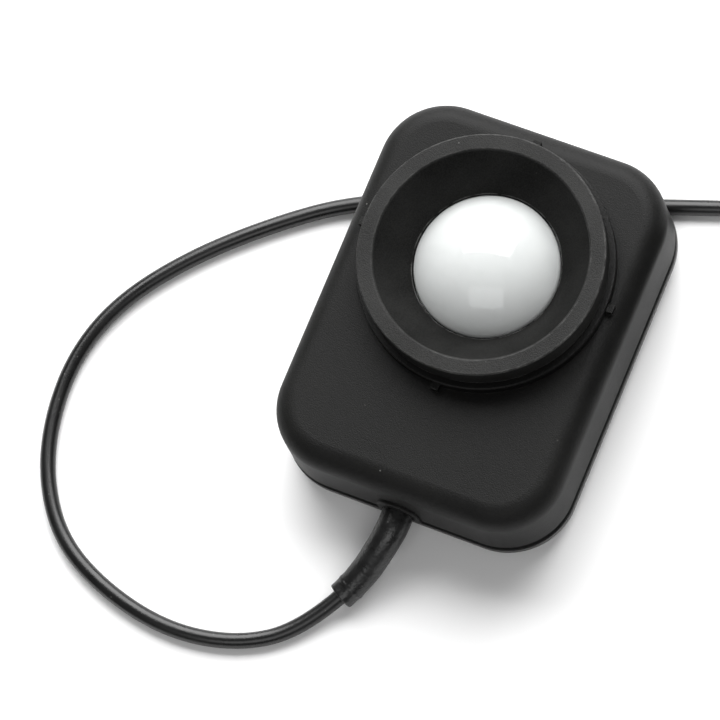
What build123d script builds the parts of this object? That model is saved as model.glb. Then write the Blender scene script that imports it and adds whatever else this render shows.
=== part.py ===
from build123d import *
from math import cos, pi, radians, sin, sqrt, tan
import os

# Light sensor head with an opal dome, a shade collar and a fixed lead.
# Millimetres, +Z up, +Y towards the far end, the lead leaves the -Y wall.
# The origin is on the surface that the feet stand on, under the middle of the head.

os.makedirs("parts", exist_ok=True)

# housing
head_width = 66.0
head_length = 86.2
corner_radius = 14.8
shell_rise = 17.5
draft = 1.5
top_fillet = 5.0
wall = 2.2
edge_break = 0.3

# rear cover, gasket and feet
cover_edge = 2.2
cover_floor = 2.0
cover_spread = 0.15
cover_round = 0.6
lip_height = 4.5
lip_wall = 1.3
seam_gap = 2.0
gasket_inset = 0.15
foot_height = 4.2
foot_radius = 5.0
foot_recess = 0.6
foot_taper = 0.5
foot_x = 22.0
foot_y = 15.0

# cover screws
screw_radius = 1.35
screw_head_radius = 2.6
screw_head_height = 1.4
screw_length = 15.0
cross_reach = 0.6
cross_width = 0.7
cross_depth = 0.8
boss_radius = 3.2
pad_height = 1.2

# collar, seat ring and dome
collar_y = 10.2
collar_radius = 26.6
rim_width = 3.3
rim_rise = 9.3
seat_ring_radius = 27.9
seat_ring_height = 2.8
seat_ring_round = 0.3
groove = 0.6
groove_depth = 0.7
spigot_radius = 24.95
spigot_wall = 1.45
cone_foot_drop = 0.15
cone_foot_gap = 0.05
cone_wall = 1.5
nub_reach = 1.4
nub_width = 1.8
nub_height = 1.7
dome_radius = 15.7
dome_height = 8.6
dome_wall = 2.0
dome_base_rise = 0.4
dome_gap = 0.35
flange_reach = 2.8
flange_height = 1.2
seal_height = 0.5
ring_height = 2.0
ring_screw_circle = 20.8
ring_screw_radius = 0.9
ring_boss_radius = 2.0
ring_ear = 0.6
ring_screw_head = 1.2

# circuit board and what is on it
board_side_gap = 6.4
board_end_gap = 0.4
board_height = 1.6
head_room = 11.5
board_screw_inset = 4.0
board_screw_radius = 1.2
board_round = 2.0
pin_hole_radius = 0.4
small_head_radius = 2.15
small_head_height = 1.6
small_cross_width = 0.6
screw_tip_gap = 1.0
post_radius = 2.6
cell_radius = 4.55
cell_height = 2.5
cell_wall = 0.75
window_height = 0.5
cell_chip_side = 3.0
cell_chip_height = 0.4
cell_lead_radius = 0.25
cell_lead_reach = 1.2
light_tube_radius = 8.5
light_tube_height = 5.0
tube_peg_inset = 1.5
tube_peg_radius = 0.8
filter_radius = 6.4
filter_height = 2.0
chip_x = -14.0
chip_back = 9.0
chip_size = (4.9, 3.9, 1.4)
chip_lift = 0.15
chip_edge = 0.2
leg_size = (0.4, 0.9, 0.7)
leg_pitch = 1.27
leg_row = 2.4
passive_x = 15.5
passive_y = 2.0
passive_pitch = 3.2
passive_size = (2.0, 1.25, 0.6)
trimmer_x = 14.0
trimmer_back = 9.0
trimmer_size = (4.5, 4.5, 2.4)
trimmer_dial_radius = 1.5
trimmer_dial_height = 0.4
trimmer_slot = (2.4, 0.5, 0.8)
header_inset = 2.5
header_depth = 3.0
header_height = 3.6
header_end = 0.5

# lead inside the head
cable_diameter = 3.5
cable_x = -0.8
cable_rise = 2.2
cable_inner_reach = 16.1
neck_radius = 3.6
boot_root_radius = 3.5
boot_tip_radius = 3.12
boot_flange_radius = 5.2
boot_flange_height = 1.8
boot_straight = 5.5
boot_level_end = 5.5
boot_bead_radius = 3.32
boot_bead_height = 0.8
boot_bead_place = 0.85
hood_radius = 4.9
hood_rise = 8.3
hood_reach = 0.6
hood_round = 0.4
clamp_reach = 12.1
clamp_width = 20.0
clamp_depth = 6.0
clamp_height = 3.5
clamp_screw_x = 6.5
clamp_gap = 0.3
clamp_round = 1.0
wire_diameter = 1.1
wire_pitch = 2.5
wire_spread = 0.65
wire_kick = 0.6
wire_lead_out = 5.0
wire_lead_in = 7.0
wire_bend = 2.5

# coil and plug
coil_x = 76.5
coil_y = 32.0
coil_turn_radius = 6 * cable_diameter
coil_rows = 3
tie_thickness = 0.5
tie_angle = 20.0
tie_from = 240.0
plug_boot_length = 10.0
plug_boot_tip_radius = 2.4
plug_boot_root_radius = 3.6
plug_radius = 5.5
plug_length = 19.0
plug_round = 1.0
plug_shell_radius = 4.75
plug_shell_wall = 0.5
plug_shell_length = 7.5
plug_insulator_length = 3.0
pin_radius = 0.3
pin_circle = 2.4
pin_setback = 1.0

# clearances
slip = 0.1
thread_gap = 0.05
stand_off = 0.2

# levels and places that follow from the sizes above
cover_z = foot_height
floor_z = cover_z + cover_floor
edge_z = cover_z + cover_edge
skirt_z = edge_z + seam_gap
top_z = skirt_z + shell_rise
ceiling_z = top_z - wall
rim_z = top_z + rim_rise
dome_z = top_z + dome_base_rise
cable_z = skirt_z + cable_rise
cable_radius = cable_diameter / 2
back_wall_y = -head_length / 2
inner_wall_y = back_wall_y + wall
cable_inner_end = back_wall_y + cable_inner_reach
clamp_y = back_wall_y + clamp_reach
flange_y = inner_wall_y + (cable_rise + boot_flange_radius) * tan(radians(draft)) + slip
board_lift = shell_rise - head_room
board_z = floor_z + board_lift
board_top = board_z + board_height
lip_inset = wall + slip
pocket_inset = lip_inset + lip_wall
screw_reach = (corner_radius - pocket_inset - boss_radius - 2 * slip) / sqrt(2)
screw_x = head_width / 2 - corner_radius + screw_reach
screw_y = head_length / 2 - corner_radius + screw_reach
corners = [(x, y) for x in (-screw_x, screw_x) for y in (-screw_y, screw_y)]
board_width = head_width - 2 * (pocket_inset + board_side_gap)
board_length = 2 * (screw_y - boss_radius - board_end_gap - collar_y)
board_screw_x = board_width / 2 - board_screw_inset
board_screw_y = board_length / 2 - board_screw_inset
board_corners = [
    (x, collar_y + y)
    for x in (-board_screw_x, board_screw_x)
    for y in (-board_screw_y, board_screw_y)
]
coil_wide = coil_rows * cable_diameter
coil_top = tie_thickness + coil_wide
lie_z = coil_top + cable_radius
plug_z = coil_top + plug_radius
dome_axis = Axis((0, collar_y, 0), (0, 0, 1))
dome_plane = Plane(origin=(0, collar_y, 0), x_dir=(1, 0, 0), z_dir=(0, -1, 0))

# The free lead's route from the boot's tip to the coil, chosen by hand.
floor_level = cable_radius
lead_route = [
    (-7.4, -63.8, 3.3),
    (-12.9, -73.2, floor_level),
    (-24.3, -80.9, floor_level),
    (-39.8, -83.7, floor_level),
    (-56.3, -80.6, floor_level),
    (-70.4, -73.7, floor_level),
    (-79.4, -61.9, floor_level),
    (-83.8, -48.3, floor_level),
    (-84.4, -33.3, floor_level),
    (-79.8, -19.1, floor_level),
    (-69.4, -5.1, floor_level),
    (-55.6, 7.9, floor_level),
    (-39.8, 19.5, floor_level),
    (-16.3, 28.7, floor_level),
    (7.7, 35.7, floor_level),
    (46.7, 48.8, floor_level),
    (68.95, 55.3, floor_level),
]
# The stretch that climbs out of the coil and lies on it as far as the plug.
end_route = [
    (61.9, 21.8, coil_top - 0.8 * cable_radius),
    (56.4, 31.5, lie_z),
    (57.2, 44.5, lie_z),
    (65.0, 53.0, lie_z),
    (74.7, 53.6, lie_z + (plug_z - lie_z) / 4),
    (82.9, 48.4, plug_z),
    (86.5, 39.2, plug_z),
]


def write(piece, label):
    piece.part.label = label
    export_step(piece.part, f"parts/{label}.step")


def corner_radii(points, share=0.45):
    """Radius of each corner, from its shorter run and half its turn."""
    radii = []
    for before, here, after in zip(points, points[1:], points[2:]):
        run_in = Vector(*here) - Vector(*before)
        run_out = Vector(*after) - Vector(*here)
        half_turn = radians(run_in.get_angle(run_out)) / 2
        radii.append(share * min(run_in.length, run_out.length) / tan(half_turn))
    return radii


def report_tube(name, piece, path, radius):
    wanted = pi * radius**2 * path.length
    print(f"{name}: length {path.length:.1f}, volume {piece.part.volume / wanted:.4f} of section x length")


def cross_recess(reach, width, depth, level):
    """A cross slot cut downwards from a screw head at the current locations."""
    with Locations((0, 0, level)):
        Box(2 * reach, width, 2 * depth, mode=Mode.SUBTRACT)
        Box(width, 2 * reach, 2 * depth, mode=Mode.SUBTRACT)


# ---- housing ----

with BuildPart() as shell_core:
    with BuildSketch(Plane.XY.offset(skirt_z)):
        RectangleRounded(head_width - 2 * wall, head_length - 2 * wall, corner_radius - wall)
    extrude(amount=shell_rise - wall, taper=draft)
    fillet(shell_core.faces().sort_by(Axis.Z)[-1].edges(), top_fillet - wall)

with BuildPart() as front_shell:
    with BuildSketch(Plane.XY.offset(skirt_z)):
        RectangleRounded(head_width, head_length, corner_radius)
    extrude(amount=shell_rise, taper=draft)
    fillet(front_shell.faces().sort_by(Axis.Z)[-1].edges(), top_fillet)
    chamfer(front_shell.faces().sort_by(Axis.Z)[0].edges(), edge_break)
    # raised hood round the lead's outlet
    with BuildSketch(Plane.XZ.offset(-inner_wall_y)):
        hood_centre = skirt_z + hood_rise - hood_radius
        with Locations((cable_x, hood_centre)):
            Circle(hood_radius)
        with Locations((cable_x, (skirt_z + hood_centre) / 2)):
            Rectangle(2 * hood_radius, hood_centre - skirt_z)
        with Locations((cable_x, skirt_z - hood_radius)):
            Rectangle(2 * hood_radius, 2 * hood_radius, mode=Mode.SUBTRACT)
    extrude(amount=wall + hood_reach)
    fillet(front_shell.faces().sort_by(Axis.Y)[0].edges().sort_by(Axis.Z)[1:], hood_round)
    add(shell_core.part, mode=Mode.SUBTRACT)
    # seat ring for the collar, with four nubs at its foot
    with BuildSketch(Plane.XY.offset(top_z)):
        with Locations((0, collar_y)):
            Circle(seat_ring_radius)
            Circle(spigot_radius + slip, mode=Mode.SUBTRACT)
    extrude(amount=seat_ring_height)
    ring_edges = front_shell.edges().filter_by(GeomType.CIRCLE).group_by(Axis.Z)[-1]
    fillet(ring_edges.sort_by(SortBy.RADIUS)[-1], seat_ring_round)
    with BuildSketch(Plane.XY.offset(top_z)):
        nub_start = seat_ring_radius - 1
        with Locations((0, collar_y)):
            with PolarLocations((nub_start + seat_ring_radius + nub_reach) / 2, 4):
                Rectangle(seat_ring_radius + nub_reach - nub_start, nub_width)
    extrude(amount=nub_height)
    # window for the dome
    with Locations((0, collar_y, ceiling_z)):
        Cylinder(
            dome_radius + dome_gap, wall,
            align=(Align.CENTER, Align.CENTER, Align.MIN), mode=Mode.SUBTRACT,
        )
    # bosses for the cover screws and the dome's retaining ring
    with BuildSketch(Plane.XY.offset(floor_z + pad_height + slip)):
        with Locations(*corners):
            Circle(boss_radius)
    extrude(until=Until.NEXT)
    with BuildSketch(Plane.XY.offset(ceiling_z)):
        with Locations((0, collar_y)):
            with PolarLocations(ring_screw_circle, 3, start_angle=90):
                Circle(ring_boss_radius)
    extrude(amount=-(seal_height + flange_height))
    with BuildSketch(Plane.XY.offset(floor_z)):
        with Locations(*corners):
            Circle(screw_radius + thread_gap)
    extrude(amount=screw_length - screw_head_height, mode=Mode.SUBTRACT)
    with BuildSketch(Plane.XY.offset(ceiling_z + wall / 2)):
        with Locations((0, collar_y)):
            with PolarLocations(ring_screw_circle, 3, start_angle=90):
                Circle(ring_screw_radius + thread_gap)
    extrude(amount=-(wall / 2 + seal_height + flange_height), mode=Mode.SUBTRACT)
    # slot for the boot's neck, open to the skirt
    with BuildSketch(Plane.XZ.offset(-inner_wall_y - wall)):
        with Locations((cable_x, cable_z)):
            Circle(neck_radius + slip)
        with Locations((cable_x, (skirt_z + cable_z) / 2)):
            Rectangle(2 * (neck_radius + slip), cable_z - skirt_z)
    extrude(amount=3 * wall, mode=Mode.SUBTRACT)
write(front_shell, "front_shell")

with BuildPart() as rear_cover:
    with BuildSketch(Plane.XY.offset(cover_z)):
        RectangleRounded(
            head_width + 2 * cover_spread, head_length + 2 * cover_spread, corner_radius + cover_spread
        )
    extrude(amount=cover_edge)
    fillet(rear_cover.faces().sort_by(Axis.Z)[0].edges(), cover_round)
    # locating lip inside the skirt
    with BuildSketch(Plane.XY.offset(cover_z + cover_round)):
        RectangleRounded(head_width - 2 * lip_inset, head_length - 2 * lip_inset, corner_radius - lip_inset)
    extrude(amount=cover_edge - cover_round + lip_height)
    with BuildSketch(Plane.XY.offset(floor_z)):
        RectangleRounded(
            head_width - 2 * pocket_inset, head_length - 2 * pocket_inset, corner_radius - pocket_inset
        )
    extrude(amount=cover_edge + lip_height, mode=Mode.SUBTRACT)
    # screw pads, board posts and the cable saddle
    with BuildSketch(Plane.XY.offset(floor_z)):
        with Locations(*corners):
            Circle(boss_radius + slip)
    extrude(amount=pad_height)
    with BuildSketch(Plane.XY.offset(floor_z)):
        with Locations(*board_corners):
            Circle(post_radius)
    extrude(amount=board_lift)
    with BuildSketch(Plane.XY.offset(floor_z)):
        with Locations((cable_x, clamp_y)):
            Rectangle(clamp_width, clamp_depth)
    extrude(amount=cable_z - clamp_gap - floor_z)
    # holes: cover screws from below, pilots from above
    with Locations(*[(x, y, cover_z) for x, y in corners]):
        Cylinder(screw_radius + slip, 4 * cover_floor, mode=Mode.SUBTRACT)
        Cylinder(screw_head_radius + stand_off, 2 * (screw_head_height + stand_off), mode=Mode.SUBTRACT)
    with BuildSketch(Plane.XY.offset(board_z)):
        with Locations(*board_corners):
            Circle(board_screw_radius + thread_gap)
    extrude(amount=-board_lift, mode=Mode.SUBTRACT)
    with BuildSketch(Plane.XY.offset(cable_z)):
        with Locations((cable_x, clamp_y)):
            with GridLocations(2 * clamp_screw_x, 0, 2, 1):
                Circle(board_screw_radius + thread_gap)
    extrude(amount=floor_z - cable_z, mode=Mode.SUBTRACT)
    # recesses for the feet
    with BuildSketch(Plane.XY.offset(cover_z)):
        with GridLocations(2 * foot_x, 2 * foot_y, 2, 2):
            Circle(foot_radius + slip)
    extrude(amount=foot_recess, mode=Mode.SUBTRACT)
    # outlet: room for the boot's flange, its neck and the cable in its saddle
    with Locations((cable_x, inner_wall_y, cable_z)):
        Box(
            2 * (boot_flange_radius + stand_off),
            2 * (boot_flange_height + slip + stand_off),
            2 * (cable_z - floor_z),
            mode=Mode.SUBTRACT,
        )
    with BuildSketch(Plane.XZ.offset(-inner_wall_y - wall)):
        with Locations((cable_x, cable_z)):
            Circle(neck_radius + slip)
    extrude(amount=3 * wall, mode=Mode.SUBTRACT)
    with BuildSketch(Plane.XZ.offset(-clamp_y - clamp_depth)):
        with Locations((cable_x, cable_z)):
            Circle(cable_radius)
    extrude(amount=2 * clamp_depth, mode=Mode.SUBTRACT)
write(rear_cover, "rear_cover")

with BuildPart() as seam_gasket:
    with BuildSketch(Plane.XY.offset(edge_z)):
        RectangleRounded(
            head_width - 2 * gasket_inset, head_length - 2 * gasket_inset, corner_radius - gasket_inset
        )
        RectangleRounded(
            head_width - 2 * wall, head_length - 2 * wall, corner_radius - wall, mode=Mode.SUBTRACT
        )
    extrude(amount=seam_gap)
    with BuildSketch(Plane.XZ.offset(-inner_wall_y - wall)):
        with Locations((cable_x, cable_z)):
            Circle(neck_radius + slip)
    extrude(amount=3 * wall, mode=Mode.SUBTRACT)
write(seam_gasket, "seam_gasket")

foot_names = {"front_left": (-1, -1), "front_right": (1, -1), "far_left": (-1, 1), "far_right": (1, 1)}
for corner_name, (side_x, side_y) in foot_names.items():
    with BuildPart() as foot:
        with BuildSketch(Plane.XY.offset(cover_z + foot_recess)):
            with Locations((side_x * foot_x, side_y * foot_y)):
                Circle(foot_radius)
        extrude(amount=-foot_recess)
        with BuildSketch(Plane.XY.offset(cover_z)):
            with Locations((side_x * foot_x, side_y * foot_y)):
                Circle(foot_radius)
        extrude(amount=-foot_height, taper=foot_taper)
        fillet(foot.edges().sort_by(Axis.Z)[0], edge_break)
    write(foot, f"foot_{corner_name}")

with BuildPart() as cover_screws:
    for x, y in corners:
        head_top = cover_z + stand_off + screw_head_height
        with Locations((x, y, head_top)):
            Cylinder(
                screw_head_radius, screw_head_height, align=(Align.CENTER, Align.CENTER, Align.MAX)
            )
            Cylinder(
                screw_radius, screw_length - screw_head_height - slip,
                align=(Align.CENTER, Align.CENTER, Align.MIN),
            )
        with Locations((x, y, cover_z + stand_off)):
            cross_recess(cross_reach * screw_head_radius, cross_width, cross_depth, 0)
write(cover_screws, "cover_screws")

# ---- collar and dome ----

with BuildPart() as shade_collar:
    cone_foot_z = dome_z - cone_foot_drop
    cone_foot_radius = dome_radius + dome_gap + cone_foot_gap
    rim_inner_radius = collar_radius - rim_width
    seat_z = top_z + seat_ring_height
    spigot_inner = spigot_radius - spigot_wall
    cone_slope = (rim_z - cone_foot_z) / (rim_inner_radius - cone_foot_radius)
    cone_back = cone_wall * sqrt(1 + cone_slope**2) / cone_slope
    with BuildSketch(dome_plane):
        with BuildLine():
            Polyline(
                (cone_foot_radius, cone_foot_z),
                (rim_inner_radius, rim_z),
                (collar_radius, rim_z),
                (collar_radius, seat_z + groove),
                (collar_radius - groove_depth, seat_z + groove),
                (collar_radius - groove_depth, seat_z),
                (spigot_radius, seat_z),
                (spigot_radius, cone_foot_z),
                (spigot_inner, cone_foot_z),
                (spigot_inner, cone_foot_z + (spigot_inner - cone_foot_radius - cone_back) * cone_slope),
                (cone_foot_radius + cone_back, cone_foot_z),
                close=True,
            )
        collar_profile = make_face()
        fillet(collar_profile.vertices().group_by(Axis.Y)[-1], edge_break)
    revolve(axis=dome_axis)
write(shade_collar, "shade_collar")

with BuildPart() as diffuser_dome:
    cap_radius = (dome_radius**2 + dome_height**2) / (2 * dome_height)
    cap_centre = dome_z + dome_height - cap_radius
    inner_cap = cap_radius - dome_wall
    inner_radius = dome_radius - dome_wall
    inner_join = cap_centre + sqrt(inner_cap**2 - inner_radius**2)
    flange_radius = dome_radius + flange_reach
    flange_top = ceiling_z - seal_height
    flange_bottom = flange_top - flange_height
    with BuildSketch(dome_plane):
        with BuildLine():
            Polyline(
                (inner_radius, inner_join),
                (inner_radius, flange_bottom),
                (flange_radius, flange_bottom),
                (flange_radius, flange_top),
                (dome_radius, flange_top),
                (dome_radius, dome_z),
            )
            RadiusArc((dome_radius, dome_z), (0, dome_z + dome_height), -cap_radius)
            Line((0, dome_z + dome_height), (0, cap_centre + inner_cap))
            RadiusArc((0, cap_centre + inner_cap), (inner_radius, inner_join), inner_cap)
        make_face()
    revolve(axis=dome_axis)
write(diffuser_dome, "diffuser_dome")

with BuildPart() as dome_seal:
    with BuildSketch(Plane.XY.offset(flange_top)):
        with Locations((0, collar_y)):
            Circle(flange_radius - slip)
            Circle(dome_radius + dome_gap + slip, mode=Mode.SUBTRACT)
    extrude(amount=seal_height)
write(dome_seal, "dome_seal")

with BuildPart() as retaining_ring:
    with BuildSketch(Plane.XY.offset(flange_bottom)):
        with Locations((0, collar_y)):
            Circle(flange_radius + slip)
            with PolarLocations(ring_screw_circle, 3, start_angle=90):
                Circle(ring_boss_radius + ring_ear)
            Circle(inner_radius - slip, mode=Mode.SUBTRACT)
            with PolarLocations(ring_screw_circle, 3, start_angle=90):
                Circle(ring_screw_radius + slip, mode=Mode.SUBTRACT)
    extrude(amount=-ring_height)
write(retaining_ring, "retaining_ring")

with BuildPart() as ring_screws:
    ring_bottom = flange_bottom - ring_height
    with BuildSketch(Plane.XY.offset(ring_bottom)):
        with Locations((0, collar_y)):
            with PolarLocations(ring_screw_circle, 3, start_angle=90):
                Circle(2 * ring_screw_radius)
    extrude(amount=-ring_screw_head)
    with BuildSketch(Plane.XY.offset(ring_bottom)):
        with Locations((0, collar_y)):
            with PolarLocations(ring_screw_circle, 3, start_angle=90):
                Circle(ring_screw_radius)
    extrude(amount=ring_height + flange_height + seal_height + wall / 2 - slip)
write(ring_screws, "ring_screws")

# ---- circuit board ----

with BuildPart() as circuit_board:
    with BuildSketch(Plane.XY.offset(board_z)):
        with Locations((0, collar_y)):
            RectangleRounded(board_width, board_length, board_round)
            with GridLocations(2 * board_screw_x, 2 * board_screw_y, 2, 2):
                Circle(board_screw_radius + stand_off, mode=Mode.SUBTRACT)
            with GridLocations(2 * pin_circle, 0, 2, 1):
                Circle(pin_hole_radius, mode=Mode.SUBTRACT)
            with GridLocations(2 * (light_tube_radius - tube_peg_inset), 0, 2, 1):
                Circle(tube_peg_radius + slip, mode=Mode.SUBTRACT)
    extrude(amount=board_height)
write(circuit_board, "circuit_board")

with BuildPart() as board_screws:
    for x, y in board_corners:
        with Locations((x, y, board_top)):
            Cylinder(small_head_radius, small_head_height, align=(Align.CENTER, Align.CENTER, Align.MIN))
            Cylinder(
                board_screw_radius, board_height + board_lift - screw_tip_gap,
                align=(Align.CENTER, Align.CENTER, Align.MAX),
            )
        with Locations((x, y, board_top + small_head_height)):
            cross_recess(board_screw_radius, small_cross_width, cross_depth, 0)
write(board_screws, "board_screws")

with BuildPart() as light_tube:
    with Locations((0, collar_y, board_top)):
        Cylinder(light_tube_radius, light_tube_height, align=(Align.CENTER, Align.CENTER, Align.MIN))
        Cylinder(
            cell_radius + 2 * stand_off, light_tube_height,
            align=(Align.CENTER, Align.CENTER, Align.MIN), mode=Mode.SUBTRACT,
        )
    with Locations((0, collar_y, board_top + light_tube_height)):
        Cylinder(
            filter_radius + slip, filter_height,
            align=(Align.CENTER, Align.CENTER, Align.MAX), mode=Mode.SUBTRACT,
        )
    with Locations((0, collar_y, board_top)):
        with GridLocations(2 * (light_tube_radius - tube_peg_inset), 0, 2, 1):
            Cylinder(tube_peg_radius, board_height, align=(Align.CENTER, Align.CENTER, Align.MAX))
write(light_tube, "light_tube")

with BuildPart() as photopic_filter:
    with Locations((0, collar_y, board_top + light_tube_height)):
        Cylinder(filter_radius, filter_height, align=(Align.CENTER, Align.CENTER, Align.MAX))
write(photopic_filter, "photopic_filter")

with BuildPart() as photocell_can:
    can_top = board_top + cell_height
    with Locations((0, collar_y, board_top)):
        Cylinder(cell_radius, cell_height, align=(Align.CENTER, Align.CENTER, Align.MIN))
    with Locations((0, collar_y, board_top + cell_wall)):
        Cylinder(
            cell_radius - cell_wall, cell_height - 1.5 * cell_wall,
            align=(Align.CENTER, Align.CENTER, Align.MIN), mode=Mode.SUBTRACT,
        )
    with Locations((0, collar_y, can_top)):
        Cylinder(cell_radius - 2 * cell_wall, 2 * cell_wall, mode=Mode.SUBTRACT)
write(photocell_can, "photocell_can")

with BuildPart() as photocell_window:
    with Locations((0, collar_y, can_top - cell_wall / 2)):
        Cylinder(
            cell_radius - cell_wall - thread_gap, window_height,
            align=(Align.CENTER, Align.CENTER, Align.MAX),
        )
write(photocell_window, "photocell_window")

with BuildPart() as photocell_chip:
    with Locations((0, collar_y, board_top + cell_wall)):
        Box(cell_chip_side, cell_chip_side, cell_chip_height, align=(Align.CENTER, Align.CENTER, Align.MIN))
write(photocell_chip, "photocell_chip")

with BuildPart() as photocell_leads:
    with BuildSketch(Plane.XY.offset(board_top)):
        with Locations((0, collar_y)):
            with GridLocations(2 * pin_circle, 0, 2, 1):
                Circle(cell_lead_radius)
    extrude(amount=-(board_height + cell_lead_reach))
write(photocell_leads, "photocell_leads")

chip_place = (chip_x, collar_y - chip_back)
with BuildPart() as amplifier_chip:
    with Locations((*chip_place, board_top + chip_lift)):
        Box(*chip_size, align=(Align.CENTER, Align.CENTER, Align.MIN))
    chamfer(amplifier_chip.faces().sort_by(Axis.Z)[-1].edges(), chip_edge)
write(amplifier_chip, "amplifier_chip")

with BuildPart() as amplifier_legs:
    for side in (-1, 1):
        with Locations((chip_place[0], chip_place[1] + side * leg_row, board_top)):
            with GridLocations(leg_pitch, 0, 4, 1):
                Box(*leg_size, align=(Align.CENTER, Align.CENTER, Align.MIN))
write(amplifier_legs, "amplifier_legs")

with BuildPart() as chip_passives:
    with Locations((passive_x, collar_y + passive_y, board_top)):
        with GridLocations(passive_pitch, passive_pitch, 3, 3):
            Box(*passive_size, align=(Align.CENTER, Align.CENTER, Align.MIN))
write(chip_passives, "chip_passives")

with BuildPart() as gain_trimmer:
    with Locations((trimmer_x, collar_y - trimmer_back, board_top)):
        Box(*trimmer_size, align=(Align.CENTER, Align.CENTER, Align.MIN))
        with Locations((0, 0, trimmer_size[2])):
            Cylinder(
                trimmer_dial_radius, trimmer_dial_height, align=(Align.CENTER, Align.CENTER, Align.MIN)
            )
            Box(*trimmer_slot, mode=Mode.SUBTRACT)
write(gain_trimmer, "gain_trimmer")

header_y = collar_y - board_length / 2 + header_inset
wire_level = board_top + header_height / 2
with BuildPart() as wire_header:
    with Locations((0, header_y, board_top)):
        Box(
            4 * wire_pitch + 2 * header_end, header_depth, header_height,
            align=(Align.CENTER, Align.CENTER, Align.MIN),
        )
write(wire_header, "wire_header")

# ---- lead inside the head and its boot ----

exit_point = Vector(*lead_route[0])
first_run = (Vector(*lead_route[1]) - exit_point).normalized()
tail_route = [
    (cable_x, cable_inner_end, cable_z),
    (cable_x, back_wall_y - boot_straight, cable_z),
    tuple(exit_point - first_run * boot_level_end),
    tuple(exit_point),
]
boot_route = [(cable_x, back_wall_y, cable_z), *tail_route[1:]]
tail_radii = corner_radii(boot_route, share=0.9)

with BuildPart() as cable_tail:
    with BuildLine() as tail_path:
        FilletPolyline(*tail_route, radius=tail_radii)
    with BuildSketch(tail_path.line ^ 0):
        Circle(cable_radius)
    sweep(path=tail_path.line)
write(cable_tail, "cable_tail")

with BuildPart() as cable_boot:
    with BuildLine() as boot_path:
        FilletPolyline(*boot_route, radius=tail_radii)
    with BuildSketch(boot_path.line ^ 0):
        Circle(boot_root_radius)
    with BuildSketch(boot_path.line ^ 1):
        Circle(boot_tip_radius)
    sweep(path=boot_path.line, multisection=True)
    # neck in the wall and flange behind it
    with BuildSketch(Plane.XZ.offset(-back_wall_y + hood_reach)):
        with Locations((cable_x, cable_z)):
            Circle(neck_radius)
    extrude(amount=back_wall_y - hood_reach - flange_y)
    with BuildSketch(Plane.XZ.offset(-flange_y)):
        with Locations((cable_x, cable_z)):
            Circle(boot_flange_radius)
        with Locations((cable_x, floor_z - boot_flange_radius + slip)):
            Rectangle(2 * boot_flange_radius, 2 * boot_flange_radius, mode=Mode.SUBTRACT)
    extrude(amount=-boot_flange_height)
    # low bead near the tip
    with BuildSketch(boot_path.line ^ boot_bead_place):
        Circle(boot_bead_radius)
    extrude(amount=boot_bead_height)
    add(cable_tail.part, mode=Mode.SUBTRACT)
write(cable_boot, "cable_boot")

with BuildPart() as cable_clamp:
    with BuildSketch(Plane.XY.offset(cable_z + clamp_gap)):
        with Locations((cable_x, clamp_y)):
            Rectangle(clamp_width, clamp_depth)
            with GridLocations(2 * clamp_screw_x, 0, 2, 1):
                Circle(board_screw_radius + slip, mode=Mode.SUBTRACT)
    extrude(amount=clamp_height)
    fillet(cable_clamp.edges().filter_by(Axis.Z).group_by(Axis.X)[-1], clamp_round)
    fillet(cable_clamp.edges().filter_by(Axis.Z).group_by(Axis.X)[0], clamp_round)
    with BuildSketch(Plane.XZ.offset(-clamp_y - clamp_depth)):
        with Locations((cable_x, cable_z)):
            Circle(cable_radius)
    extrude(amount=2 * clamp_depth, mode=Mode.SUBTRACT)
write(cable_clamp, "cable_clamp")

with BuildPart() as clamp_screws:
    clamp_top = cable_z + clamp_gap + clamp_height
    for side in (-1, 1):
        with Locations((cable_x + side * clamp_screw_x, clamp_y, clamp_top)):
            Cylinder(small_head_radius, small_head_height, align=(Align.CENTER, Align.CENTER, Align.MIN))
            Cylinder(
                board_screw_radius, clamp_top - floor_z - stand_off,
                align=(Align.CENTER, Align.CENTER, Align.MAX),
            )
        with Locations((cable_x + side * clamp_screw_x, clamp_y, clamp_top + small_head_height)):
            cross_recess(board_screw_radius, small_cross_width, cross_depth, 0)
write(clamp_screws, "clamp_screws")

wire_starts = {"red": (-1, 1), "white": (-1, -1), "green": (1, -1), "black": (1, 1)}
for index, (colour, (side_x, side_z)) in enumerate(wire_starts.items()):
    start_x = cable_x + side_x * wire_spread
    start_z = cable_z + side_z * wire_spread
    slot_x = (index - 1.5) * wire_pitch
    with BuildPart() as wire:
        with BuildLine() as wire_path:
            FilletPolyline(
                (start_x, cable_inner_end, start_z),
                (
                    start_x + side_x * wire_kick,
                    cable_inner_end + wire_lead_out,
                    start_z + side_z * wire_diameter,
                ),
                (slot_x, header_y - wire_lead_in, wire_level),
                (slot_x, header_y - header_depth / 2, wire_level),
                radius=wire_bend,
            )
        with BuildSketch(wire_path.line ^ 0):
            Circle(wire_diameter / 2)
        sweep(path=wire_path.line)
        add(cable_tail.part, mode=Mode.SUBTRACT)
    write(wire, f"wire_{colour}")

# ---- free lead, coil and plug ----

coil_axis = Axis((coil_x, coil_y, 0), (0, 0, 1))

with BuildPart() as cable_coil:
    with BuildSketch(Plane(origin=(coil_x, coil_y, 0), x_dir=(1, 0, 0), z_dir=(0, -1, 0))):
        with Locations((coil_turn_radius, tie_thickness + coil_wide / 2)):
            RectangleRounded(coil_wide, coil_wide, cable_radius)
    revolve(axis=coil_axis)
write(cable_coil, "cable_coil")

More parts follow.
